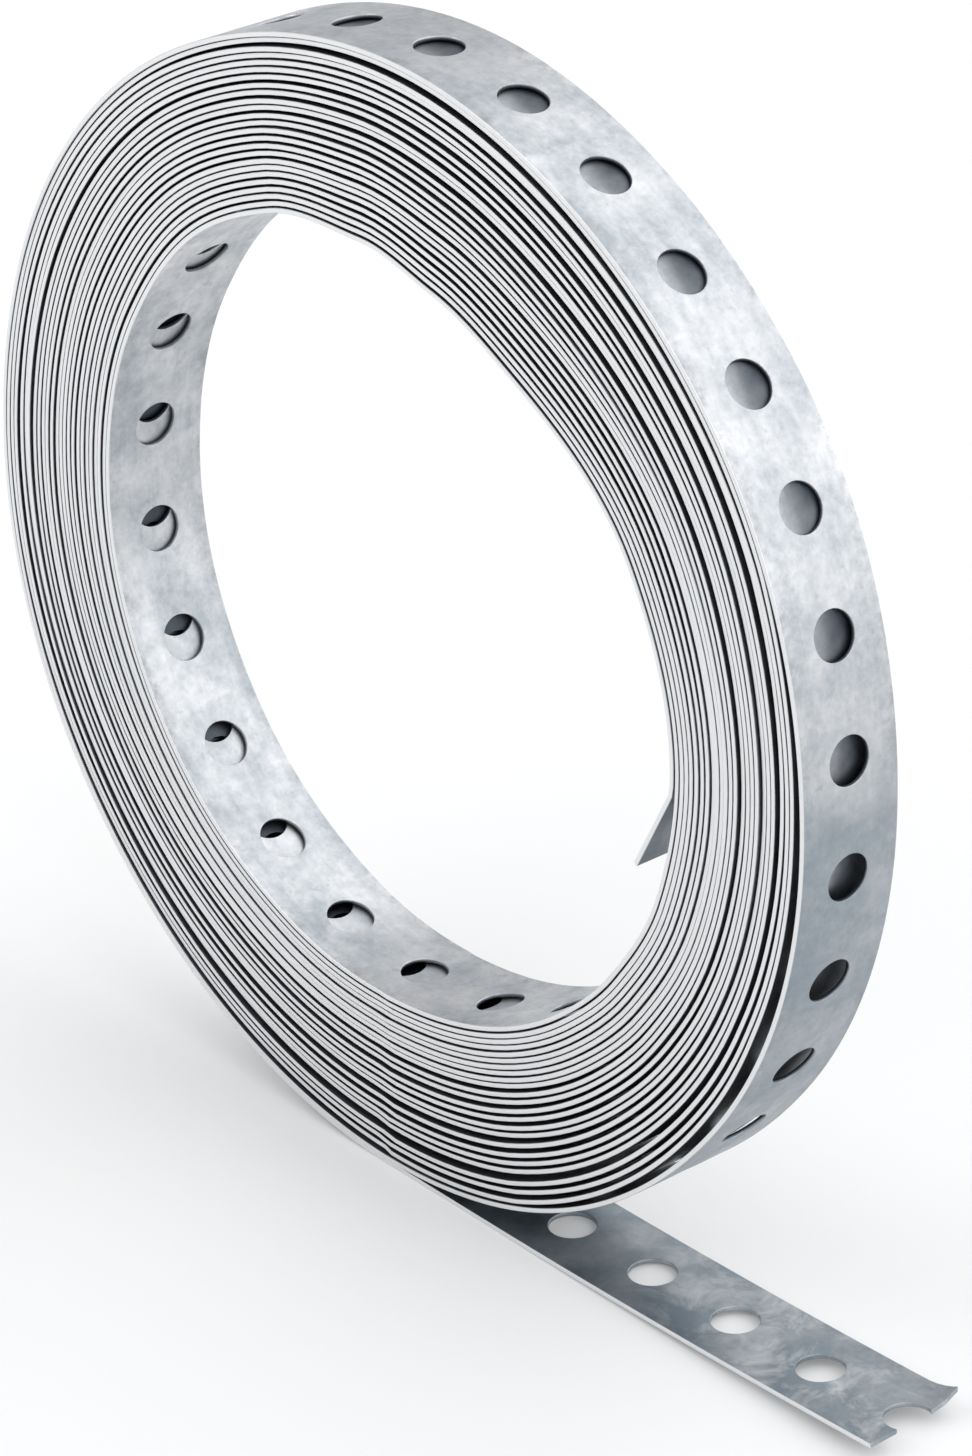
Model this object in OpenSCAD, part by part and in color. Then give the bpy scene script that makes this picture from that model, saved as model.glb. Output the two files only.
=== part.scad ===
// Coil of single-row perforated steel strap, standing on its rim with its tail laid out flat.
// One strap, wound clockwise inwards: flat tail, slack outer wrap, packed turns, inner tab.
// The coil's axis lies along Y, the floor is Z = 0 and the tail points along +X.

/* [Strap] */
// Width of the strap
strap_w = 17; // [12:0.5:24]
// Thickness of the steel
strap_t = 0.75; // [0.6:0.05:1.2]
// Diameter of each hole
hole_d = 7; // [4:0.5:9]
// Distance between hole centres along the strap
hole_pitch = 17; // [12:0.5:25]

/* [Coil] */
// Radius of the outermost wrap
coil_r = 85.5; // [75:0.5:110]
// Full turns on the coil
turns = 25; // [12:1:28]
// Air gap between neighbouring turns
turn_gap = 0.34; // [0.25:0.01:0.5]
// Depth to which the gaps are open at each end of the coil
gap_depth = 3; // [1.5:0.25:3.5]
// How much wider than high the loose coil has sagged
sag = 3; // [1:0.5:8]

/* [Slack wrap] */
// How far the outer wrap stands off from the turns on the tail's side
slack = 1.2; // [0.4:0.1:3]

/* [Free ends] */
// Length of the flat tail from the coil's lowest point to its cut end
tail_len = 101; // [60:0.5:200]
// Height above the coil's axis, in degrees, at which the innermost turn ends
tab_angle = 6; // [-20:1:30]
// Length of the straight tab after that end
tab_len = 18; // [8:0.5:25]
// Angle through which the tab is bent away from the turns
tab_bend = 25; // [15:1:40]
// Inside radius of that bend
tab_bend_r = 4; // [2:0.5:10]

/* [Hidden] */
$fn = 180;

turn_pitch = strap_t + turn_gap;
half_turn = 180;
deg_per_rad = 180 / PI;
core_w = strap_w - 2 * gap_depth;
hole_depth = strap_t + turn_gap / 2;
overlap = 0.5;
// The tab's bend laps this far into the turn that it leaves, in mm sideways and in degrees.
bend_seat = 0.05;
bend_lap = 5;

// The left halves of the turns share one centre. The right halves share another, half a pitch
// higher and the sag to the right, so that every turn steps in by one pitch at the bottom.
left_centre = [0, coil_r];
right_centre = [sag, coil_r + turn_pitch / 2];
right_r = coil_r - turn_pitch / 2;
inner_left_r = coil_r - (turns - 1) * turn_pitch - strap_t;
inner_right_r = right_r - (turns - 1) * turn_pitch - strap_t;

// Arcs along the strap from the tail inwards: centre, outer radius, first angle, last angle and
// the length of the straight run that leads into the arc.
wrap_arcs = [
    [left_centre, coil_r, 270, 90, 0],
    [right_centre + [slack, 0], right_r, 90, -90, sag + slack],
];
inner_arcs = [
    [left_centre, inner_left_r + strap_t, 270, 90, sag],
    [right_centre, inner_right_r + strap_t, 90, tab_angle, sag],
];

function sum(values) = len(values) == 0 ? 0 : [for (v = values) 1] * values;
function middle_r(arc) = arc[1] - strap_t / 2;
function run_length(arc) = arc[4] + middle_r(arc) * (arc[2] - arc[3]) / deg_per_rad;
function run_start(arcs, index, first) =
    first + sum([for (i = [0 : 1 : index - 1]) run_length(arcs[i])]);

packed_turns = turns - 2;
wrap_len = sum([for (arc = wrap_arcs) run_length(arc)]) + slack;
packed_len = packed_turns
    * (2 * sag + PI * (coil_r + right_r - strap_t - turn_pitch * (packed_turns + 1)));
inner_start = tail_len + wrap_len + packed_len;

// Lengths from the start of an arc's round part at which the holes of that run fall.
function hole_places(arc, start) =
    [for (i = [ceil(start / hole_pitch) : floor((start + run_length(arc)) / hole_pitch)])
        i * hole_pitch - start - arc[4]];

// Cross-sections of neighbouring turns, side by side, outermost first.
module turn_sections(r, count) {
    for (i = [0 : count - 1])
        translate([r - i * turn_pitch - strap_t, -strap_w / 2])
            square([strap_t, strap_w]);
}

// The packed turns, joined behind the depth to which their gaps are open.
module packed_section(r, count) {
    turn_sections(r, count);
    translate([r - (count - 1) * turn_pitch - strap_t, -core_w / 2])
        square([(count - 1) * turn_pitch + strap_t, core_w]);
}

module strap_arc(arc) {
    translate(arc[0])
        rotate_extrude(angle = arc[2] - arc[3], start = arc[3])
            turn_sections(arc[1], 1);
}

// Drills for the holes that fall on one arc; inwards = 1 enters from outside, -1 from the bore.
module arc_drills(arc, start, inwards) {
    face_r = inwards > 0 ? arc[1] - hole_depth : arc[1] - strap_t - overlap;
    for (place = hole_places(arc, start))
        translate(arc[0])
            rotate(arc[2] - max(place, 0) / middle_r(arc) * deg_per_rad)
                translate([face_r, max(-place, 0), 0])
                    rotate([0, 90, 0])
                        cylinder(d = hole_d, h = hole_depth + overlap);
}

// The turns that lie on each other: left halves, right halves inside the slack wrap, and the
// short straight runs between them at the top and the bottom.
module packed_turns() {
    translate(left_centre) {
        rotate_extrude(angle = half_turn, start = 90)
            packed_section(coil_r, turns);
        rotate([90, 0, 90])
            linear_extrude(sag)
                packed_section(coil_r, turns);
        translate([sag, 0, 0])
            rotate([90, 0, -90])
                linear_extrude(sag)
                    packed_section(coil_r - turn_pitch, turns - 1);
    }
    translate(right_centre)
        rotate_extrude(angle = half_turn, start = -90)
            packed_section(right_r - turn_pitch, packed_turns);
}

// The right half of the outer wrap, with the runs by which it stands off at the top and bottom.
module slack_wrap() {
    strap_arc(wrap_arcs[1]);
    for (y = [2 * coil_r - strap_t, turn_pitch])
        translate([sag, y, -strap_w / 2])
            cube([slack, strap_t, strap_w]);
}

// The tail on the floor, cut square through the middle of a hole.
module tail() {
    translate([0, 0, -strap_w / 2])
        cube([tail_len, strap_t, strap_w]);
}

module tail_drills() {
    for (x = [tail_len : -hole_pitch : hole_d / 2])
        translate([x, -overlap, 0])
            rotate([-90, 0, 0])
                cylinder(d = hole_d, h = hole_depth + overlap);
}

// The inner free end: the last half turn stops early and its tab is bent off into the bore.
module inner_end() {
    strap_arc(inner_arcs[1]);
    translate(right_centre)
        rotate(tab_angle)
            translate([inner_right_r - tab_bend_r + bend_seat, 0, 0]) {
                rotate_extrude(angle = tab_bend + bend_lap, start = -tab_bend)
                    turn_sections(tab_bend_r + strap_t, 1);
                rotate(-tab_bend)
                    translate([tab_bend_r, -tab_len, -strap_w / 2])
                        cube([strap_t, tab_len, strap_w]);
            }
}

module strap() {
    color("lightsteelblue")
        rotate([90, 0, 0])
            difference() {
                union() {
                    packed_turns();
                    slack_wrap();
                    tail();
                    inner_end();
                }
                tail_drills();
                for (i = [0 : len(wrap_arcs) - 1])
                    arc_drills(wrap_arcs[i], run_start(wrap_arcs, i, tail_len), 1);
                for (i = [0 : len(inner_arcs) - 1])
                    arc_drills(inner_arcs[i], run_start(inner_arcs, i, inner_start), -1);
            }
}

strap();
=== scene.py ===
"""Looks of a coil of galvanised perforated steel strap that stands on its rim with its tail laid out."""

import logging
import math
from dataclasses import dataclass, field, replace
from enum import Enum
from typing import ClassVar, Sequence

import bpy
import numpy as np
from mathutils import Matrix, Vector


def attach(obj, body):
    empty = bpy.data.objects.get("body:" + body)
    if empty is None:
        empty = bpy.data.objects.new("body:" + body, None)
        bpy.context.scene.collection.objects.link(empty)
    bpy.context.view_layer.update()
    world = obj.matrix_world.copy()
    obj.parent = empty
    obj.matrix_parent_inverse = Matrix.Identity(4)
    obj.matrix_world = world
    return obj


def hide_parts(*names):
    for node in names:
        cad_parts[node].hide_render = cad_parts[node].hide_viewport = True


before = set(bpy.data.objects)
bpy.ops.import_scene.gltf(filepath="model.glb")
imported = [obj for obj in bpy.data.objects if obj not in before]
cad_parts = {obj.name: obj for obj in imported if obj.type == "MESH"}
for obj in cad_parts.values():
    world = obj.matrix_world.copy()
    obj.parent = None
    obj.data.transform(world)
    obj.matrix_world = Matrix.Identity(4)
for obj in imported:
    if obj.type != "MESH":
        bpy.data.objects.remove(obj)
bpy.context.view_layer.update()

LOG = logging.getLogger("strap_coil")

MM = 0.001
FULL_TURN = 2.0 * math.pi
IMAGE_HEIGHT_PX = 1456
SENSOR_MM = 36.0
PLACE_ATTRIBUTE = "strap_place"
# Mesh attribute with each point's share of painted shade between the turns and under the holes.
PAINTED_SHADE_ATTRIBUTE = "painted_turn_shade"

Colour = tuple[float, float, float, float]
Pairs = tuple[tuple[float, float], ...]
Socket = bpy.types.NodeSocket
Feed = Socket | Vector | tuple[float, ...] | float


def direction(azimuth: float, elevation: float) -> Vector:
    """Finds the direction of an azimuth and an elevation, in degrees, as for the views."""
    turn, rise = math.radians(azimuth), math.radians(elevation)
    return Vector((math.sin(turn) * math.cos(rise), -math.cos(turn) * math.cos(rise), math.sin(rise)))


def eased(share: np.ndarray) -> np.ndarray:
    """Smooths shares between 0 and 1, so that they start and end gently."""
    return share * share * (3.0 - 2.0 * share)


def feed(tree: bpy.types.NodeTree, node: bpy.types.Node, inputs: dict[str | int, Feed]) -> None:
    """Links inputs of a node to sockets, or gives them fixed values.

    Args:
        tree: The tree that the node is in.
        node: The node.
        inputs: The name or number of each input, and the socket or the value that it gets.
    """
    for name, source in inputs.items():
        if isinstance(source, Socket):
            tree.links.new(source, node.inputs[name])
        else:
            node.inputs[name].default_value = source


class CellGrade(Enum):
    """How finely one cell of the strap, a hole with the steel round it, is divided."""

    FINE = (32, 12, 1)
    PLAIN = (20, 6, 0)

    @property
    def hole_sides(self) -> int:
        """Edges round the hole."""
        return self.value[0]

    @property
    def edge_parts(self) -> int:
        """Edges along each long side of the cell."""
        return self.value[1]

    @property
    def rings(self) -> int:
        """Extra rings of edges between the hole and the sides."""
        return self.value[2]


@dataclass(frozen=True)
class StrapStock:
    """Sizes of the flat strap before it is wound, in millimetres.

    Attributes:
        width: Width of the strap.
        thickness: Thickness of the steel.
        hole_d: Diameter of each hole.
        hole_pitch: Distance between hole centres.
        edge_round: Size of the rounding along the edges.
        width_parts: Edges across the strap at each cell's end.
    """

    width: float = 17.0
    thickness: float = 0.75
    hole_d: float = 7.0
    hole_pitch: float = 17.0
    edge_round: float = 0.1
    width_parts: int = 4


@dataclass
class Cover:
    """How the neighbouring turns cover one face of the strap, by the length along it.

    Attributes:
        covered: 1 where a neighbouring turn lies over the face, 0 in the open.
        deep: 1 where two or more turns lie over it.
        gap: Width of the gap to the neighbouring turn, in millimetres.
    """

    covered: np.ndarray
    deep: np.ndarray
    gap: np.ndarray

    @classmethod
    def even(cls, share: np.ndarray) -> "Cover":
        """Makes the table of a stretch that has the same share in all three columns."""
        return cls(share, share, share)

    @classmethod
    def chain(cls, parts: Sequence["Cover"]) -> "Cover":
        """Joins the tables of consecutive stretches, in order along the strap."""
        columns = zip(*((part.covered, part.deep, part.gap) for part in parts))
        return cls(*(np.concatenate(column) for column in columns))

    def at(self, run: np.ndarray, known: np.ndarray) -> tuple[np.ndarray, ...]:
        """Reads the three columns at lengths along the strap, given the lengths of the rows."""
        return tuple(np.interp(run, known, column) for column in (self.covered, self.deep, self.gap))


@dataclass(frozen=True)
class PaintedGapShade:
    """How much shade is painted on the steel between the turns and under the holes, as shares from 0 in the
    open to 1.

    Attributes:
        middle: Half of the width of the strap's middle, in millimetres, outside which the rims start.
        hole_from: Place across the strap at which the painted shadow under an outer hole starts, in
            millimetres.
        hole_span: Distance from there to the full shade, in millimetres.
        bore_hole: Share of painted shade on the turn that shows through a hole of the bore.
        deep: Share under two or more turns.
        slit_gap: Width of a gap that counts as fully dark at the rims, in millimetres.
        slit_least: Least share of a gap at the rims.
        slit_most: Greatest share of a gap at the rims.
        rim_play: How far past the flat of the strap the shade may reach, in millimetres.
    """

    middle: float = 4.0
    hole_from: float = -4.25
    hole_span: float = 5.6
    bore_hole: float = 0.04
    deep: float = 0.95
    slit_gap: float = 0.45
    slit_least: float = 0.15
    slit_most: float = 0.7
    rim_play: float = 0.02


@dataclass
class Winding:
    """The route that the strap takes from the cut end of its tail to the tip of its inner tab.

    Sizes are in millimetres, and lengths along the strap count from the middle of the tail's first
    hole. Angles are in degrees, counted from the tail's side upwards, as on the coil's near end.

    Attributes:
        stock: The strap that is wound.
        shade: How much shade is painted on the steel between the turns and under the holes.
        coil_r: Radius of the outer wrap at the floor, apart from its dents.
        pitch: Mean step from one turn to the next.
        turns: Turns from the outermost to the innermost.
        sag: How much wider than high the coil is.
        tail_x: Place along x of the middle of the tail's first hole.
        tail_rise: Height of the tail above the floor at that hole.
        tail_flat: Place along x up to which the tail lies flat.
        tail_shaded: Place along x up to which the tail lies in the coil's shade.
        spare_end: Length of strap that is laid past the first hole, for the cut.
        cut_past: How far past the middle of the first hole the tail is cut.
        cut_slant: Sideways slope of that cut.
        flick: Height to which the far corner of the cut end is turned up.
        flick_across: Place across the strap at which that corner starts, and the width over which it rises.
        flick_along: Length at which that corner starts, and the length over which it rises.
        weaves: Size, length and start of each wave in which the turns stand out sideways.
        weave_begin: Length at which those waves begin, and the length over which they grow.
        tab_angle: Place at which the innermost turn ends.
        tab_bend: Angle of the bend into the tab.
        tab_bend_r: Radius of that bend.
        tab_len: Straight length of the tab.
        outer_dents: Angle and offset pairs, how far the outer wrap is out of round.
        bore_dents: Angle and offset pairs, how far the bore is out of round.
        slack_gap: Widest gap behind the slack outer wrap.
        slack_angle: Place of that gap.
        slack_spread: Half of the angle over which it opens and closes.
        slack_shape: Power by which it opens and closes, 1 for evenly.
        uneven: Angle and strength pairs, how uneven the other gaps are.
        gap_waves: Fewest and most waves to the turn in the uneven gaps.
        gap_calm: How much weaker the quick waves are, less for a greater value.
        gap_limit: Greatest height of the waves, in standard deviations.
        gap_least: Least width of a gap, as a share of a middling one.
        loose: How many times wider the gaps are where the outer turns hang loose.
        loose_angle: Place at which they hang loosest.
        loose_focus: Power by which the loose turns keep to that place.
        loose_turns: Number of turns that hang loose there.
        loose_begin: Turns over which the looseness begins at the outside.
        loose_end: Turns over which it ends.
        first_gap: How wide the gap inside the outer wrap is, as a share of the others.
        seed: Start of the random gaps.
        route: Points along the middle of the strap, as x and z.
        run: Length along the strap at each of those points.
        outward: Direction away from the coil at each of those points.
        outside: How the outer face is covered there.
        inside: How the inner face is covered there.
    """

    stock: StrapStock = StrapStock()
    shade: PaintedGapShade = PaintedGapShade()
    coil_r: float = 85.6
    pitch: float = 1.096
    turns: int = 25
    sag: float = 3.0
    tail_x: float = 101.0
    tail_rise: float = 2.4
    tail_flat: float = 15.0
    tail_shaded: float = 25.0
    spare_end: float = 4.0
    cut_past: float = 1.1
    cut_slant: float = 0.02
    flick: float = 1.5
    flick_across: tuple[float, float] = (3.5, 5.0)
    flick_along: tuple[float, float] = (5.0, 6.0)
    weaves: tuple[tuple[float, float, float], ...] = ((0.16, 61.0, 0.0), (0.1, 143.0, 1.0))
    weave_begin: tuple[float, float] = (150.0, 300.0)
    tab_angle: float = 0.0
    tab_bend: float = 26.0
    tab_bend_r: float = 4.0
    tab_len: float = 14.0
    outer_dents: Pairs = (
        (0, -0.8), (40, 0.8), (78, 0.8), (118, -0.7), (160, -0.8), (210, 0.3), (285, 0.9), (325, -0.5),
    )
    bore_dents: Pairs = (
        (5, 1.1), (30, 0.4), (62, -2.6), (77, -2.0), (92, -0.4), (110, 1.5), (128, 2.0), (150, 1.3),
        (180, 0.8), (222, 0.2), (250, -0.4), (278, -1.2), (310, -0.9), (325, -0.5), (342, 0.4),
    )
    slack_gap: float = 1.6
    slack_angle: float = -22.0
    slack_spread: float = 48.0
    slack_shape: float = 0.8
    uneven: Pairs = (
        (0, 0.75), (30, 0.8), (75, 0.5), (110, 0.4), (150, 0.45), (185, 0.6), (230, 0.5), (285, 0.3),
        (325, 0.5),
    )
    gap_waves: tuple[float, float] = (0.25, 2.6)
    gap_calm: float = 0.6
    gap_limit: float = 1.6
    gap_least: float = 0.12
    loose: float = 3.0
    loose_angle: float = -68.0
    loose_focus: float = 3.0
    loose_turns: float = 13.0
    loose_begin: float = 0.8
    loose_end: float = 2.2
    first_gap: float = 0.35
    seed: int = 11
    route: np.ndarray = field(init=False, repr=False)
    run: np.ndarray = field(init=False, repr=False)
    outward: np.ndarray = field(init=False, repr=False)
    outside: Cover = field(init=False, repr=False)
    inside: Cover = field(init=False, repr=False)

    SAMPLES_PER_TURN: ClassVar[int] = 720
    TAIL_SAMPLES: ClassVar[int] = 400
    BEND_SAMPLES: ClassVar[int] = 24
    TAB_SAMPLES: ClassVar[int] = 40

    def __post_init__(self) -> None:
        """Works out the route once, as tables by the length along the strap."""
        tail = self._tail()
        coil, coil_outside, coil_inside = self._coil()
        tab = self._tab(coil)
        self.route = np.concatenate([tail, coil, tab])
        run = np.concatenate([[0.0], np.cumsum(np.hypot(*np.diff(self.route, axis=0).T))])
        self.run = run - np.interp(-self.tail_x, -tail[:, 0], run[: len(tail)])
        along = np.gradient(self.route, self.run, axis=0)
        along /= np.linalg.norm(along, axis=1)[:, None]
        self.outward = np.stack([-along[:, 1], along[:, 0]], axis=1)
        # Painted shade on the tail's upper face where it runs in under the coil.
        under_coil = np.clip((self.tail_shaded - tail[:, 0]) / self.tail_shaded, 0.0, 1.0)
        tail_open, tab_open = (Cover.even(np.zeros(len(part))) for part in (tail, tab))
        self.outside = Cover.chain([tail_open, coil_outside, tab_open])
        self.inside = Cover.chain([Cover.even(under_coil), coil_inside, tab_open])

    @property
    def length(self) -> float:
        """Length of the strap along its middle."""
        return float(self.run[-1])

    @staticmethod
    def _ring_curve(pairs: Pairs, angle: np.ndarray) -> np.ndarray:
        """Reads a smooth closed curve through angle and offset pairs.

        Args:
            pairs: Angles in degrees, rising, and the offset at each.
            angle: Angles in degrees at which the curve is wanted.

        Returns:
            The offset at each angle.
        """
        at = np.array([pair[0] for pair in pairs], float)
        off = np.array([pair[1] for pair in pairs], float)
        at = np.concatenate([at - 360.0, at, at + 360.0])
        off = np.tile(off, 3)
        wanted = np.mod(angle, 360.0)
        index = np.clip(np.searchsorted(at, wanted, side="right") - 1, 0, len(at) - 2)
        share = (wanted - at[index]) / (at[index + 1] - at[index])
        return off[index] + (off[index + 1] - off[index]) * eased(share)

    def _gaps(self, angle: np.ndarray) -> np.ndarray:
        """Draws the uneven air gaps between neighbouring turns.

        Args:
            angle: Angles in degrees of the samples of one turn.

        Returns:
            A share of the whole gap for each step between turns (rows) and each angle (columns).
        """
        draw = np.random.RandomState(self.seed)
        steps = self.turns - 1
        turn = np.arange(steps * self.SAMPLES_PER_TURN) / self.SAMPLES_PER_TURN
        wave = np.zeros_like(turn)
        fewest, most = (int(waves * steps) for waves in self.gap_waves)
        for cycles in range(fewest, most):
            size = 1.0 / (self.gap_calm + cycles / steps)
            wave += size * np.cos(FULL_TURN * (cycles * turn / steps + draw.rand()))
        wave = self.gap_limit * np.tanh(wave / wave.std() / self.gap_limit)
        begun = eased(np.clip(turn / self.loose_begin, 0.0, 1.0))
        hanging = begun / (1.0 + np.exp((turn - self.loose_turns) / self.loose_end))
        facing = 0.5 + 0.5 * np.cos(np.radians(angle - self.loose_angle))
        loose = 1.0 + self.loose * facing**self.loose_focus * hanging.reshape(steps, -1)
        strength = self._ring_curve(self.uneven, angle)
        share = loose * (np.exp(strength * wave.reshape(steps, -1)) + self.gap_least)
        share[0] *= self.first_gap
        return share

    def _turn_radii(self) -> tuple[np.ndarray, np.ndarray, np.ndarray]:
        """Works out where each turn lies.

        Returns:
            Turn angles from the lowest point on, in radians, the outer radius of every turn (rows) at
            each of them, and the gap inside every turn but the last.
        """
        sweep = np.arange(self.SAMPLES_PER_TURN) / self.SAMPLES_PER_TURN
        angle = 270.0 - 360.0 * sweep
        share = self._gaps(angle)
        outer_dent = self._ring_curve(self.outer_dents, angle)
        bore_dent = self._ring_curve(self.bore_dents, angle)
        steps = self.turns - 1
        total = steps * (self.pitch - self.stock.thickness) + outer_dent - bore_dent
        off_slack = np.abs(np.mod(angle - self.slack_angle + 180.0, 360.0) - 180.0) / self.slack_spread
        slack = self.slack_gap * np.clip(1.0 - off_slack, 0.0, 1.0) ** self.slack_shape
        gaps = share * ((total - slack) / share.sum(axis=0))
        gaps[0] += slack
        first_step = self.stock.thickness + gaps[0, 0]
        first = self.coil_r - first_step * sweep + outer_dent
        below = np.concatenate([np.zeros((1, len(sweep))), np.cumsum(gaps + self.stock.thickness, axis=0)])
        return FULL_TURN * sweep, first - below, gaps

    def _coil(self) -> tuple[np.ndarray, Cover, Cover]:
        """Lays the turns out one after the other.

        Returns:
            Points along the middle of the strap, as x and z in millimetres, and how the outer and the
            inner face are covered there.
        """
        sweep, radii, gaps = self._turn_radii()
        number = np.repeat(np.arange(self.turns), len(sweep))
        turn = np.tile(sweep, self.turns) + FULL_TURN * number
        radius = radii.reshape(-1) - self.stock.thickness / 2.0
        tab_turn = math.radians(270.0 - self.tab_angle)
        inner_turns = self.turns - 1 - number - (np.tile(sweep, self.turns) > tab_turn)
        no_gap = np.zeros((1, len(sweep)))
        gap_outside = np.concatenate([no_gap, gaps]).reshape(-1)
        gap_inside = np.concatenate([gaps, no_gap]).reshape(-1)
        made = turn <= FULL_TURN * (self.turns - 1) + tab_turn
        half = self.sag / 2.0
        height = radii[0, 0]
        coil = np.stack([half - (radius + half) * np.sin(turn), height - radius * np.cos(turn)], axis=1)
        outside, inside = (
            Cover((layers >= 1)[made].astype(float), (layers >= 2)[made].astype(float), gap[made])
            for layers, gap in ((number, gap_outside), (inner_turns, gap_inside))
        )
        return coil[made], outside, inside

    def _tab(self, coil: np.ndarray) -> np.ndarray:
        """Bends the tab off the innermost turn.

        Args:
            coil: Points along the coil.

        Returns:
            Points along the middle of the bend and the tab, as x and z in millimetres.
        """
        along = coil[-1] - coil[-3]
        heading = math.atan2(along[1], along[0])
        ahead = np.array([math.cos(heading), math.sin(heading)])
        side = np.array([math.sin(heading), -math.cos(heading)])
        bend = np.linspace(0.0, math.radians(self.tab_bend), self.BEND_SAMPLES)[1:, None]
        arc = coil[-1] + self.tab_bend_r * (np.sin(bend) * ahead + (1.0 - np.cos(bend)) * side)
        last = heading - math.radians(self.tab_bend)
        onward = np.array([math.cos(last), math.sin(last)])
        straight = np.linspace(0.0, self.tab_len, self.TAB_SAMPLES)[1:, None] * onward
        return np.concatenate([arc, arc[-1] + straight])

    def _tail(self) -> np.ndarray:
        """Lays the tail from just beyond its cut end to the coil's lowest point.

        Returns:
            Points along the middle of the tail, as x and z in millimetres.
        """
        x = np.linspace(self.tail_x + self.spare_end, self.sag / 2.0, self.TAIL_SAMPLES)[:-1]
        lift = np.clip((x - self.tail_flat) / (self.tail_x - self.tail_flat), 0.0, None) ** 2
        return np.stack([x, self.stock.thickness / 2.0 + self.tail_rise * lift], axis=1)

    def _weave(self, run: np.ndarray) -> np.ndarray:
        """Finds how far the turns stand out sideways.

        Args:
            run: Lengths along the strap, in millimetres.

        Returns:
            The sideways shift at each length, in millimetres.
        """
        begin, growth = self.weave_begin
        shift = sum(size * np.sin(run / wave + start) for size, wave, start in self.weaves)
        return shift * np.clip((run - begin) / growth, 0.0, 1.0)

    def _corner(self, run: np.ndarray, across: np.ndarray) -> np.ndarray:
        """Finds how far the far corner of the cut end is turned up.

        Args:
            run: Lengths along the strap, in millimetres.
            across: Places across it, in millimetres.

        Returns:
            The rise at each place, in millimetres.
        """
        begin_across, width = self.flick_across
        begin_along, length = self.flick_along
        aside = np.clip((across - begin_across) / width, 0.0, 1.0)
        ahead = np.clip((begin_along - run) / length, 0.0, 1.0)
        return self.flick * aside**2 * ahead**2

    def place(self, flat: np.ndarray) -> np.ndarray:
        """Winds points of the flat strap.

        Args:
            flat: Length along the strap, place across it and height, in millimetres, one row a point.

        Returns:
            The same points on the coil, in millimetres.
        """
        run, across, height = flat.T
        middle_x, middle_z = (np.interp(run, self.run, self.route[:, i]) for i in (0, 1))
        out_x, out_z = (np.interp(run, self.run, self.outward[:, i]) for i in (0, 1))
        lift = height + self.stock.thickness / 2.0
        x = middle_x + out_x * lift
        y = across + self._weave(run)
        z = middle_z + out_z * lift + self._corner(run, across)
        return np.stack([x, y, z], axis=1)

    def painted_turn_shade(self, flat: np.ndarray) -> np.ndarray:
        """Finds how much shade is painted on each face that lies against a neighbouring turn or under an
        outer hole.

        Args:
            flat: Points of the flat strap, in millimetres, one row a point.

        Returns:
            A share of painted shade for each point, 0 in the open and 1 deep between the turns.
        """
        shade = self.shade
        run, across, height = flat.T
        side = np.abs(across)
        rim = self.stock.width / 2.0 - self.stock.edge_round
        near_rim = np.clip((side - shade.middle) / (rim - shade.middle), 0.0, 1.0)
        # Painted shadow on the turn seen through an outer hole, growing across the strap towards +y.
        hole_shadow_ramp = np.clip((across - shade.hole_from) / shade.hole_span, 0.0, 1.0)
        shares = []
        for cover, hole_shadow in ((self.outside, hole_shadow_ramp), (self.inside, shade.bore_hole)):
            covered, deep, gap = cover.at(run, self.run)
            # Painted shade along the rims, darker where the gap is wider, and deep under two or more turns.
            slit = near_rim * np.clip(gap / shade.slit_gap, shade.slit_least, shade.slit_most)
            middle = (1.0 - near_rim) * np.maximum(shade.deep * deep, hole_shadow)
            shares.append(covered * np.maximum(slit, middle) * (side < rim + shade.rim_play))
        return np.where(height > -self.stock.thickness / 2.0, shares[0], shares[1])


@dataclass(frozen=True)
class Grain:
    """A noise along the strap.

    Attributes:
        scale: Patches to the metre.
        detail: Layers of finer noise.
        rough: Strength of those layers.
        distortion: How far the patches are pulled about.
    """

    scale: float
    detail: float
    rough: float
    distortion: float = 0.0


@dataclass(frozen=True)
class Marks:
    """Spots on the strap, made from the high parts of a noise.

    Attributes:
        grain: The noise.
        start: Level of the noise at which a spot starts.
        full: Level at which it is full.
        strength: Strength of a full spot.
        ends: Where the spots start, are full, start to fade and have faded out, in millimetres along
            the strap. They are all along it where this is empty.
    """

    grain: Grain
    start: float
    full: float
    strength: float
    ends: tuple[float, ...] = ()


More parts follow.
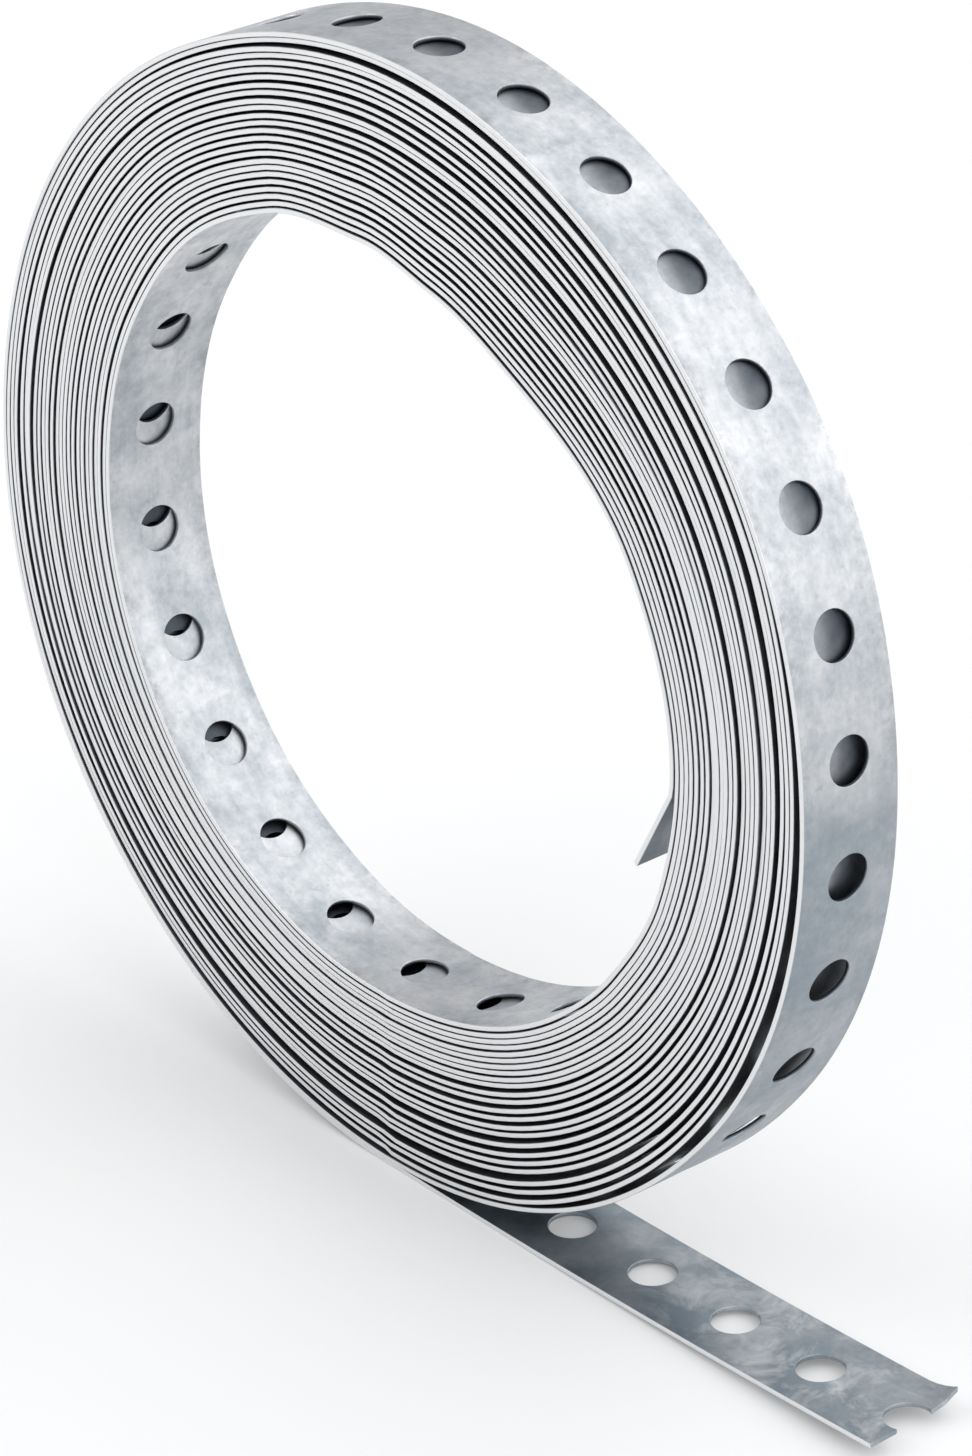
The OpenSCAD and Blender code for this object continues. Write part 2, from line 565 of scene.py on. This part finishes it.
@dataclass
class StrapNodes:
    """The nodes of the strap's material.

    Attributes:
        tree: The tree that they are added to.
        place: Socket of the place on the flat strap, in metres.
    """

    tree: bpy.types.NodeTree
    place: Socket = field(init=False)

    def __post_init__(self) -> None:
        """Fetches the place on the flat strap."""
        self.place = self.attribute(PLACE_ATTRIBUTE).outputs["Vector"]

    def attribute(self, name: str) -> bpy.types.Node:
        """Adds a node that reads one of the mesh's attributes.

        Args:
            name: The attribute's name.

        Returns:
            The node.
        """
        node = self.tree.nodes.new("ShaderNodeAttribute")
        node.attribute_name = name
        return node

    def noise(self, grain: Grain, place: Socket | None = None) -> Socket:
        """Adds a noise.

        Args:
            grain: The noise.
            place: Socket of the place that it follows, or the place on the flat strap.

        Returns:
            The noise's socket.
        """
        node = self.tree.nodes.new("ShaderNodeTexNoise")
        layers = {"Detail": grain.detail, "Roughness": grain.rough, "Distortion": grain.distortion}
        feed(self.tree, node, {"Vector": place or self.place, "Scale": grain.scale, **layers})
        return node.outputs["Fac"]

    def streaks(self, grain: Grain, squeeze: float) -> Socket:
        """Adds a noise that is drawn out along the strap.

        Args:
            grain: The noise.
            squeeze: Scale along the strap, below 1 for long streaks.

        Returns:
            The noise's socket.
        """
        drawn = self.tree.nodes.new("ShaderNodeMapping")
        feed(self.tree, drawn, {"Vector": self.place, "Scale": (squeeze, 1.0, 1.0)})
        return self.noise(grain, drawn.outputs["Vector"])

    def spangle(self, scale: float, smoothness: float) -> Socket:
        """Adds the cells of a zinc spangle.

        Args:
            scale: Cells to the metre.
            smoothness: How softly the cells meet.

        Returns:
            The socket of the cells' colours.
        """
        node = self.tree.nodes.new("ShaderNodeTexVoronoi")
        node.feature = "SMOOTH_F1"
        feed(self.tree, node, {"Vector": self.place, "Scale": scale, "Smoothness": smoothness})
        return node.outputs["Color"]

    def ramp(
        self, value: Socket, start: float, full: float, low: float = 0.0, high: float = 1.0
    ) -> Socket:
        """Maps a value from one range to another.

        Args:
            value: The value's socket.
            start: Value that becomes the low end.
            full: Value that becomes the high end.
            low: The low end.
            high: The high end.

        Returns:
            The mapped value's socket.
        """
        node = self.tree.nodes.new("ShaderNodeMapRange")
        ends = {"From Min": start, "From Max": full, "To Min": low, "To Max": high}
        feed(self.tree, node, {"Value": value, **ends})
        return node.outputs["Result"]

    def times(self, first: Socket, second: Socket) -> Socket:
        """Multiplies two values.

        Args:
            first: The first value's socket.
            second: The second value's socket.

        Returns:
            The result's socket.
        """
        node = self.tree.nodes.new("ShaderNodeMath")
        node.operation = "MULTIPLY"
        feed(self.tree, node, {0: first, 1: second})
        return node.outputs["Value"]

    def mix(self, share: float, first: Socket, second: Socket) -> Socket:
        """Mixes two values by a fixed share.

        Args:
            share: Share of the second value.
            first: The first value's socket.
            second: The second value's socket.

        Returns:
            The result's socket.
        """
        node = self.tree.nodes.new("ShaderNodeMix")
        node.data_type = "FLOAT"
        feed(self.tree, node, {"Factor": share, "A": first, "B": second})
        return node.outputs["Result"]

    def over(self, mask: Socket, under: Socket | Colour, top: Colour) -> Socket:
        """Lays a colour over another by a mask.

        Args:
            mask: The mask's socket.
            under: The colour below, or its socket.
            top: The colour that is laid over it.

        Returns:
            The colour's socket.
        """
        node = self.tree.nodes.new("ShaderNodeMix")
        node.data_type = "RGBA"
        feed(self.tree, node, {"Factor": mask, "A": under, "B": top})
        return node.outputs["Result"]

    def split(self) -> bpy.types.NodeOutputs:
        """Splits the place on the flat strap.

        Returns:
            The sockets X along the strap, Y across it and Z through it.
        """
        node = self.tree.nodes.new("ShaderNodeSeparateXYZ")
        feed(self.tree, node, {"Vector": self.place})
        return node.outputs

    def marks(self, marks: Marks) -> Socket:
        """Marks spots on the strap.

        Args:
            marks: The spots.

        Returns:
            The mask's socket.
        """
        mask = self.ramp(self.noise(marks.grain), marks.start, marks.full, high=marks.strength)
        if marks.ends:
            begin, full, fade, gone = (end * MM for end in marks.ends)
            along = self.split()["X"]
            for none, whole in ((begin, full), (gone, fade)):
                mask = self.times(self.ramp(along, none, whole), mask)
        return mask

    def off_middle(self, start: float, full: float) -> Socket:
        """Marks the strap outwards from its middle.

        Args:
            start: Distance from the middle at which the mask starts, in millimetres.
            full: Distance at which it is full, in millimetres.

        Returns:
            The mask's socket.
        """
        side = self.tree.nodes.new("ShaderNodeMath")
        side.operation = "ABSOLUTE"
        feed(self.tree, side, {0: self.split()["Y"]})
        return self.ramp(side.outputs["Value"], start * MM, full * MM)


@dataclass(frozen=True)
class GalvanisedFinish:
    """Zinc-coated steel with a soft mottled spangle.

    Attributes:
        dull: Colour of the duller patches.
        bright: Colour of the brighter patches.
        edge: Colour of the side faces and rounded rims, lighter than the flats: a painted highlight along
            each turn's rim.
        fleck: Colour of the small dark flecks.
        painted_gap_shade: Colour of the shade painted on the steel deep between the turns and under the outer
            holes.
        darker_tone: Colour of the darker patches along the tail and on the tab, and of the painted shade low
            on the outer wrap.
        scuff: Colour of the rubbed marks near the tail's cut end.
        rub: Colour of the specks along the rims.
        rough_low: Roughness of the brighter patches.
        rough_high: Roughness of the duller patches.
        cloud: The large patches.
        spangle: Cells to the metre of the spangle, and how softly they meet.
        fine: The fine grain.
        streak: The faint streaks that rolling leaves.
        streak_squeeze: Scale of those streaks along the strap.
        shares: Shares of the spangle, the fine grain and the streaks in the mottling.
        patch_levels: Levels of the mottling that are fully dull and fully bright.
        flecks: The small dark flecks.
        rubs: The specks along the rims.
        rub_band: Distances from the strap's middle at which the rims start and are full, in millimetres.
        tail_darkening: The darker patches along the tail.
        soft_darkening: The softer patches: painted shade low on the outer wrap, and darker patches on the
            tab.
        wrap_ends: Ends of the painted shade on the outer wrap, as for marks.
        tab_ends: Ends of those patches on the tab, from the strap's inner end.
        tail_scuffs: The rubbed marks near the tail's cut end.
        rim_highlight_band: Distances from the strap's middle at which the lighter rim, a painted highlight,
            starts and is full, in millimetres.
        relief: Height of the mottling, in millimetres.
        relief_strength: Strength of that relief.
    """

    dull: Colour = (0.39, 0.425, 0.455, 1.0)
    bright: Colour = (0.665, 0.668, 0.678, 1.0)
    # Painted highlight: the rims and side faces are made lighter than the flats.
    edge: Colour = (0.80, 0.81, 0.82, 1.0)
    fleck: Colour = (0.33, 0.35, 0.38, 1.0)
    # Painted shade: the colour laid between the turns and on the turns seen through the holes.
    painted_gap_shade: Colour = (0.05, 0.06, 0.075, 1.0)
    # Darker tone: painted shade low on the outer wrap, and darker patches on the tail and the tab.
    darker_tone: Colour = (0.24, 0.29, 0.33, 1.0)
    scuff: Colour = (0.82, 0.83, 0.84, 1.0)
    rub: Colour = (0.30, 0.305, 0.31, 1.0)
    rough_low: float = 0.36
    rough_high: float = 0.52
    cloud: Grain = Grain(70.0, 5.0, 0.6)
    spangle: tuple[float, float] = (260.0, 0.6)
    fine: Grain = Grain(700.0, 4.0, 0.65)
    streak: Grain = Grain(420.0, 3.0, 0.6)
    streak_squeeze: float = 0.06
    shares: tuple[float, float, float] = (0.16, 0.34, 0.14)
    patch_levels: tuple[float, float] = (0.38, 0.62)
    flecks: Marks = Marks(Grain(430.0, 6.0, 0.72), start=0.58, full=0.74, strength=0.7)
    rubs: Marks = Marks(Grain(300.0, 5.0, 0.7), start=0.48, full=0.68, strength=0.7)
    rub_band: tuple[float, float] = (5.4, 8.2)
    tail_darkening: Marks = Marks(
        Grain(75.0, 4.0, 0.6), start=0.25, full=0.62, strength=0.95, ends=(-20.0, -10.0, 100.0, 150.0)
    )
    # Painted shade low on the outer wrap, and darker patches on the tab.
    soft_darkening: Marks = Marks(Grain(60.0, 5.0, 0.65), start=0.15, full=0.60, strength=0.75)
    wrap_ends: tuple[float, ...] = (492.0, 503.0, 585.0, 640.0)
    tab_ends: tuple[float, ...] = (-26.0, -17.0, 10.0, 20.0)
    tail_scuffs: Marks = Marks(
        Grain(120.0, 4.0, 0.7, 0.6), start=0.50, full=0.70, strength=0.6, ends=(-20.0, -10.0, 32.0, 64.0)
    )
    rim_highlight_band: tuple[float, float] = (8.3, 8.45)
    relief: float = 0.05
    relief_strength: float = 0.2

    def material(self, length: float) -> bpy.types.Material:
        """Builds the finish.

        Args:
            length: Length of the strap, in millimetres.

        Returns:
            The material, patterned along the strap.
        """
        made = bpy.data.materials.new("galvanised_steel")
        made.use_nodes = True
        tree = made.node_tree
        nodes = StrapNodes(tree)
        mottling = self._mottling(nodes)
        patches = nodes.ramp(mottling, *self.patch_levels)
        rough = nodes.ramp(patches, 0.0, 1.0, self.rough_high, self.rough_low)
        steel = nodes.over(patches, self.dull, self.bright)
        for mask, colour in self._layers(nodes, length):
            steel = nodes.over(mask, steel, colour)
        bump = tree.nodes.new("ShaderNodeBump")
        feed(tree, bump, {"Strength": self.relief_strength, "Distance": self.relief * MM, "Height": mottling})
        shader = tree.nodes["Principled BSDF"]
        feed(tree, shader, {"Metallic": 1.0, "Base Color": steel, "Roughness": rough})
        feed(tree, shader, {"Normal": bump.outputs["Normal"]})
        return made

    def _mottling(self, nodes: StrapNodes) -> Socket:
        """Mixes the patches, the spangle, the fine grain and the streaks.

        Args:
            nodes: The material's nodes.

        Returns:
            The mottling's socket.
        """
        spangle, fine, streak = self.shares
        mottling = nodes.mix(spangle, nodes.noise(self.cloud), nodes.spangle(*self.spangle))
        mottling = nodes.mix(fine, mottling, nodes.noise(self.fine))
        return nodes.mix(streak, mottling, nodes.streaks(self.streak, self.streak_squeeze))

    def _layers(self, nodes: StrapNodes, length: float) -> list[tuple[Socket, Colour]]:
        """Lists what lies over the mottled steel.

        Args:
            nodes: The material's nodes.
            length: Length of the strap, in millimetres.

        Returns:
            Each layer's mask and colour, from the lowest up.
        """
        rubbed = nodes.times(nodes.off_middle(*self.rub_band), nodes.marks(self.rubs))
        # Painted shade low on the outer wrap, on the tail's side.
        wrap_painted_shade = replace(self.soft_darkening, ends=self.wrap_ends)
        tab_darkening = replace(self.soft_darkening, ends=tuple(length + end for end in self.tab_ends))
        return [
            (nodes.marks(self.flecks), self.fleck),
            (rubbed, self.rub),
            (nodes.marks(self.tail_darkening), self.darker_tone),
            # Painted shade low on the outer wrap.
            (nodes.marks(wrap_painted_shade), self.darker_tone),
            (nodes.marks(tab_darkening), self.darker_tone),
            (nodes.marks(self.tail_scuffs), self.scuff),
            # Painted highlight along the rims and side faces.
            (nodes.off_middle(*self.rim_highlight_band), self.edge),
            # Painted shade between the turns and under the holes, by the share kept on the mesh.
            (nodes.attribute(PAINTED_SHADE_ATTRIBUTE).outputs["Fac"], self.painted_gap_shade),
        ]


@dataclass
class StrapCoil:
    """The strap itself: punched flat, cut to length, rounded at its edges and wound.

    Attributes:
        winding: The route that it is wound along.
        finish: The steel's finish.
        fine_turns: Turns at the outside and at the inside whose holes show.
        smooth_angle: Angle below which neighbouring faces are shaded as one, in degrees.
    """

    winding: Winding = field(default_factory=Winding)
    finish: GalvanisedFinish = GalvanisedFinish()
    fine_turns: float = 2.2
    smooth_angle: float = 60.0

    SPARE_CELLS: ClassVar[int] = 2
    MERGE_MM: ClassVar[float] = 0.01
    LEVEL_PLAY_MM: ClassVar[float] = 0.0001
    SIDE_PLAY_MM: ClassVar[float] = 0.001
    HOLE_PLAY_MM: ClassVar[float] = 0.03

    @property
    def stock(self) -> StrapStock:
        """Sizes of the flat strap."""
        return self.winding.stock

    def build(self) -> bpy.types.Object:
        """Models the strap and winds it.

        Returns:
            The finished strap.
        """
        strap = self._flat_strap()
        self._cut_ends()
        self._thicken(strap)
        self._wind(strap)
        strap.data.materials.append(self.finish.material(self.winding.length))
        return strap

    def _row_counts(self) -> tuple[int, int, int]:
        """Counts the cells of the flat strap.

        Returns:
            Cells of the fine row at the outside, the plain row and the fine row at the inside.
        """
        winding, pitch = self.winding, self.stock.hole_pitch
        cells = int(winding.length / pitch) + self.SPARE_CELLS
        bore_r = winding.coil_r - winding.turns * winding.pitch
        outer = int((winding.tail_x + self.fine_turns * FULL_TURN * winding.coil_r) / pitch)
        inner = int((winding.tab_len + self.fine_turns * FULL_TURN * bore_r) / pitch)
        return outer, cells - outer - inner, inner

    def _flat_strap(self) -> bpy.types.Object:
        """Joins fine and plain rows of cells into one flat strap.

        Returns:
            The flat strap, with a hole at its start, longer than the route.
        """
        rows = []
        start = 0
        grades = (CellGrade.FINE, CellGrade.PLAIN, CellGrade.FINE)
        for grade, count in zip(grades, self._row_counts()):
            rows.append(self._row(grade, start * self.stock.hole_pitch, count))
            start += count
        bpy.ops.object.select_all(action="DESELECT")
        for row in rows:
            row.select_set(True)
        bpy.context.view_layer.objects.active = rows[0]
        bpy.ops.object.join()
        strap = bpy.context.object
        strap.name = "strap_coil"
        strap.data.name = "strap_coil"
        bpy.ops.object.mode_set(mode="EDIT")
        bpy.ops.mesh.select_all(action="SELECT")
        bpy.ops.mesh.remove_doubles(threshold=self.MERGE_MM * MM)
        bpy.ops.object.mode_set(mode="OBJECT")
        return strap

    def _row(self, grade: CellGrade, start: float, count: int) -> bpy.types.Object:
        """Punches a row of cells.

        Args:
            grade: How finely each cell is divided.
            start: Place of the first hole along the strap, in millimetres.
            count: Number of cells.

        Returns:
            The row of cells as a flat sheet.
        """
        stock = self.stock
        bpy.ops.object.select_all(action="DESELECT")
        bpy.ops.mesh.primitive_plane_add(size=1.0, location=(0.0, 0.0, 0.0))
        row = bpy.context.object
        row.scale = (stock.hole_pitch * MM, stock.width * MM, 1.0)
        bpy.ops.object.transform_apply(location=False, rotation=False, scale=True)
        bpy.ops.object.mode_set(mode="EDIT")
        bpy.ops.mesh.select_all(action="SELECT")
        bpy.ops.mesh.delete(type="ONLY_FACE")
        self._divide_sides(row, along=True, parts=grade.edge_parts)
        self._divide_sides(row, along=False, parts=stock.width_parts)
        bpy.ops.mesh.primitive_circle_add(
            vertices=grade.hole_sides, radius=stock.hole_d / 2.0 * MM, fill_type="NOTHING"
        )
        bpy.ops.mesh.select_all(action="SELECT")
        bpy.ops.mesh.bridge_edge_loops(number_cuts=grade.rings, interpolation="LINEAR")
        bpy.ops.mesh.select_all(action="SELECT")
        bpy.ops.mesh.normals_make_consistent(inside=False)
        bpy.ops.object.mode_set(mode="OBJECT")
        if row.data.polygons[0].normal.z < 0.0:
            row.data.flip_normals()
        row.location = (start * MM, 0.0, 0.0)
        bpy.ops.object.transform_apply(location=True, rotation=False, scale=False)
        repeat = row.modifiers.new("row", "ARRAY")
        repeat.count = count
        repeat.use_relative_offset = False
        repeat.use_constant_offset = True
        repeat.constant_offset_displace = (stock.hole_pitch * MM, 0.0, 0.0)
        repeat.use_merge_vertices = True
        repeat.merge_threshold = self.MERGE_MM * MM
        bpy.ops.object.modifier_apply(modifier=repeat.name)
        return row

    @staticmethod
    def _divide_sides(row: bpy.types.Object, along: bool, parts: int) -> None:
        """Divides one pair of a cell's sides.

        Args:
            row: The cell, in edit mode.
            along: True for the sides along the strap, False for those across it.
            parts: Number of parts that each side becomes.
        """
        bpy.ops.mesh.select_mode(type="EDGE")
        bpy.ops.mesh.select_all(action="DESELECT")
        bpy.ops.object.mode_set(mode="OBJECT")
        mesh = row.data
        for edge in mesh.edges:
            first, last = (mesh.vertices[i].co for i in edge.vertices)
            edge.select = (abs(first.y - last.y) < abs(first.x - last.x)) == along
        bpy.ops.object.mode_set(mode="EDIT")
        bpy.ops.mesh.subdivide(number_cuts=parts - 1)

    def _cut_ends(self) -> None:
        """Cuts the active strap through its first hole, and to length at its inner end."""
        winding = self.winding
        tail_cut = (-winding.cut_past, Vector((-1.0, winding.cut_slant, 0.0)))
        inner_cut = (winding.length, Vector((1.0, 0.0, 0.0)))
        for place, outward in (tail_cut, inner_cut):
            bpy.ops.object.mode_set(mode="EDIT")
            bpy.ops.mesh.select_all(action="SELECT")
            bpy.ops.mesh.bisect(
                plane_co=(place * MM, 0.0, 0.0),
                plane_no=outward.normalized(),
                clear_outer=True,
                clear_inner=False,
                use_fill=False,
            )
            bpy.ops.object.mode_set(mode="OBJECT")

    def _thicken(self, strap: bpy.types.Object) -> None:
        """Gives the flat strap its thickness and rounds the edges that show.

        Args:
            strap: The flat strap.
        """
        stock = self.stock
        thick = strap.modifiers.new("thickness", "SOLIDIFY")
        thick.thickness = stock.thickness * MM
        thick.offset = -1.0
        thick.use_even_offset = True
        bpy.ops.object.modifier_apply(modifier=thick.name)
        weight = strap.data.attributes.new("bevel_weight_edge", "FLOAT", "EDGE")
        weight.data.foreach_set("value", self._rounded_edges(strap.data).astype(np.float32))
        bevel = strap.modifiers.new("edges", "BEVEL")
        bevel.limit_method = "WEIGHT"
        bevel.width = stock.edge_round * MM
        bevel.segments = 1
        bevel.use_clamp_overlap = False
        bpy.ops.object.modifier_apply(modifier=bevel.name)

    def _rounded_edges(self, mesh: bpy.types.Mesh) -> np.ndarray:
        """Finds the edges that are rounded: the long sides and the rims of the holes that show.

        Args:
            mesh: The mesh of the thick flat strap.

        Returns:
            True or False for each edge.
        """
        stock, pitch = self.stock, self.stock.hole_pitch
        edges = np.empty(len(mesh.edges) * 2, dtype=np.int32)
        mesh.edges.foreach_get("vertices", edges)
        run, across, height = np.moveaxis(self._points(mesh)[edges.reshape(-1, 2)], 2, 0)
        level = np.abs(height[:, 0] - height[:, 1]) < self.LEVEL_PLAY_MM
        on_side = np.all(np.abs(np.abs(across) - stock.width / 2.0) < self.SIDE_PLAY_MM, axis=1)
        off_hole = np.mod(run + pitch / 2.0, pitch) - pitch / 2.0
        on_rim = np.all(np.abs(np.hypot(off_hole, across) - stock.hole_d / 2.0) < self.HOLE_PLAY_MM, axis=1)
        outer, plain, _ = self._row_counts()
        plain_from, plain_to = ((count - 0.5) * pitch for count in (outer, outer + plain))
        hidden = (run[:, 0] > plain_from) & (run[:, 0] < plain_to)
        return level & (on_side | (on_rim & ~hidden))

    @staticmethod
    def _points(mesh: bpy.types.Mesh) -> np.ndarray:
        """Reads a mesh's points.

        Args:
            mesh: The mesh.

        Returns:
            The points in millimetres, one row a point.
        """
        flat = np.empty(len(mesh.vertices) * 3, dtype=np.float32)
        mesh.vertices.foreach_get("co", flat)
        return flat.reshape(-1, 3).astype(float) / MM

    def _wind(self, strap: bpy.types.Object) -> None:
        """Winds the flat strap, keeping each point's flat place and its share of painted shade for the
        finish.

        Args:
            strap: The thick flat strap.
        """
        mesh = strap.data
        flat = self._points(mesh)
        kept = mesh.attributes.new(PLACE_ATTRIBUTE, "FLOAT_VECTOR", "POINT")
        kept.data.foreach_set("vector", (flat * MM).astype(np.float32).reshape(-1))
        # Share of painted shade between the turns and under the holes, kept on each point.
        gap = mesh.attributes.new(PAINTED_SHADE_ATTRIBUTE, "FLOAT", "POINT")
        gap.data.foreach_set("value", self.winding.painted_turn_shade(flat).astype(np.float32))
        wound = self.winding.place(flat) * MM
        mesh.vertices.foreach_set("co", wound.astype(np.float32).reshape(-1))
        mesh.update()
        bpy.ops.object.select_all(action="DESELECT")
        strap.select_set(True)
        bpy.context.view_layer.objects.active = strap
        bpy.ops.object.shade_smooth_by_angle(angle=math.radians(self.smooth_angle))
        shading = strap.modifiers.new("shading", "WEIGHTED_NORMAL")
        shading.keep_sharp = True
        bpy.ops.object.modifier_apply(modifier=shading.name)


@dataclass(frozen=True)
class Lamp:
    """A soft lamp that shines at the coil.

    Attributes:
        name: The lamp's name.
        azimuth: Side that it stands on, in degrees, as for the views.
        elevation: Its height above the floor, in degrees.
        distance: Its distance from the coil, in metres.
        size: Its width, in metres.
        power: Its power, in watts.
    """

    name: str
    azimuth: float
    elevation: float
    distance: float
    size: float
    power: float

    def build(self, target: Vector) -> None:
        """Hangs the lamp.

        Args:
            target: The point that it shines at.
        """
        away = direction(self.azimuth, self.elevation)
        bpy.ops.object.light_add(type="AREA", location=target + away * self.distance)
        lamp = bpy.context.object
        lamp.name = self.name
        lamp.rotation_euler = away.to_track_quat("Z", "Y").to_euler()
        lamp.data.shape = "DISK"
        lamp.data.size = self.size
        lamp.data.energy = self.power


@dataclass(frozen=True)
class Studio:
    """The plain pale floor, the soft light and the camera.

    Attributes:
        centre: Point in the coil that the camera and the lamps are placed from, in millimetres.
        azimuth: The camera's side, in degrees.
        elevation: The camera's height, in degrees.
        roll: The camera's roll, in degrees.
        distance: The camera's distance, in millimetres.
        focal_px: The camera's focal length, in pixels of the photograph's height.
        aside: The camera's shift to the right, in millimetres.
        upward: The camera's shift upwards, in millimetres.
        far_limit: Distance up to which the camera sees, in metres.
        lamps: The lamps.
        room: Colour of the light from all round.
        room_dim: Strength of that light on the dim side.
        room_bright: Strength of that light on the bright side.
        bright_side: Direction of the bright side.
        bright_edge: Cosines of the angles from that direction at which the brightness starts and is full.
        floor_size: Width of the floor, in metres.
        floor_paint: Colour of the floor.
        floor_rough: Roughness of the floor.
        floor_glow: Colour of the brightness that is added to the floor.
        floor_lift: Strength of that brightness where the floor is seen, so that it shows white.
    """

    centre: tuple[float, float, float] = (0.0, 0.0, 86.2)
    azimuth: float = 49.434
    elevation: float = 27.666
    roll: float = -0.503
    distance: float = 779.7
    focal_px: float = 5586.0
    aside: float = 9.907
    upward: float = -16.165
    far_limit: float = 50.0
    lamps: tuple[Lamp, ...] = (
        Lamp("softbox_left", azimuth=-30.0, elevation=40.0, distance=1.6, size=1.3, power=6.0),
    )
    room: Colour = (0.98, 0.985, 0.995, 1.0)
    room_dim: float = 0.70
    room_bright: float = 1.62
    bright_side: tuple[float, float, float] = (0.6, 0.55, 0.58)
    bright_edge: tuple[float, float] = (0.26, 0.60)
    floor_size: float = 12.0
    floor_paint: Colour = (0.70, 0.70, 0.70, 1.0)
    floor_rough: float = 0.9
    floor_glow: Colour = (1.0, 1.0, 1.0, 1.0)
    floor_lift: float = 0.14

    def build(self) -> None:
        """Sets up the floor, the light and the camera."""
        self._floor()
        self._world()
        target = Vector(self.centre) * MM
        for lamp in self.lamps:
            lamp.build(target)
        self._camera()
        bpy.context.scene.view_settings.view_transform = "Standard"

    def _floor(self) -> None:
        bpy.ops.object.select_all(action="DESELECT")
        bpy.ops.mesh.primitive_plane_add(size=self.floor_size)
        floor = bpy.context.object
        floor.name = "studio_floor"
        paint = bpy.data.materials.new("studio_white")
        paint.use_nodes = True
        tree = paint.node_tree
        path = tree.nodes.new("ShaderNodeLightPath")
        seen = tree.nodes.new("ShaderNodeMath")
        seen.operation = "MAXIMUM"
        feed(tree, seen, {0: path.outputs["Is Camera Ray"], 1: path.outputs["Is Glossy Ray"]})
        lift = tree.nodes.new("ShaderNodeMath")
        lift.operation = "MULTIPLY"
        feed(tree, lift, {0: seen.outputs["Value"], 1: self.floor_lift})
        shader = tree.nodes["Principled BSDF"]
        feed(tree, shader, {"Base Color": self.floor_paint, "Roughness": self.floor_rough})
        feed(tree, shader, {"Specular IOR Level": 0.0, "Emission Color": self.floor_glow})
        feed(tree, shader, {"Emission Strength": lift.outputs["Value"]})
        floor.data.materials.append(paint)

    def _world(self) -> None:
        """Lights the room softly, with a bright side behind the coil on the right."""
        world = bpy.data.worlds.new("studio")
        bpy.context.scene.world = world
        world.use_nodes = True
        tree = world.node_tree
        looking = tree.nodes.new("ShaderNodeTexCoord")
        side = tree.nodes.new("ShaderNodeVectorMath")
        side.operation = "DOT_PRODUCT"
        feed(tree, side, {0: looking.outputs["Generated"], 1: Vector(self.bright_side).normalized()})
        level = tree.nodes.new("ShaderNodeMapRange")
        level.interpolation_type = "SMOOTHSTEP"
        start, full = self.bright_edge
        ends = {"From Min": start, "From Max": full, "To Min": self.room_dim, "To Max": self.room_bright}
        feed(tree, level, {"Value": side.outputs["Value"], **ends})
        room = tree.nodes["Background"]
        feed(tree, room, {"Color": self.room, "Strength": level.outputs["Result"]})

    def _camera(self) -> None:
        """Places the camera at the photograph's viewing angle."""
        roll = math.radians(self.roll)
        back = direction(self.azimuth, self.elevation)
        level = Vector((0.0, 0.0, 1.0)).cross(back).normalized()
        upright = back.cross(level)
        right = level * math.cos(roll) + upright * math.sin(roll)
        up = upright * math.cos(roll) - level * math.sin(roll)
        spot = Vector(self.centre) + back * self.distance + right * self.aside + up * self.upward
        pose = Matrix((right, up, back)).transposed().to_4x4()
        pose.translation = spot * MM
        bpy.ops.object.camera_add()
        camera = bpy.context.object
        camera.name = "studio_camera"
        camera.matrix_world = pose
        camera.data.sensor_width = SENSOR_MM
        camera.data.lens = self.focal_px * SENSOR_MM / IMAGE_HEIGHT_PX
        camera.data.clip_end = self.far_limit
        bpy.context.scene.camera = camera


def main() -> None:
    """Builds the strap and the studio, and notes the sizes."""
    logging.basicConfig(level=logging.INFO, format="%(message)s")
    coil = StrapCoil()
    strap = coil.build()
    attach(strap, "root")
    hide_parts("strap")
    triangles = sum(len(face.vertices) - 2 for face in strap.data.polygons)
    LOG.info("strap: %.2f m long, %d triangles", coil.winding.length * MM, triangles)
    studio = Studio()
    studio.build()
    LOG.info("studio: floor, %d lamps and camera", len(studio.lamps))


if __name__ == "__main__":
    main()
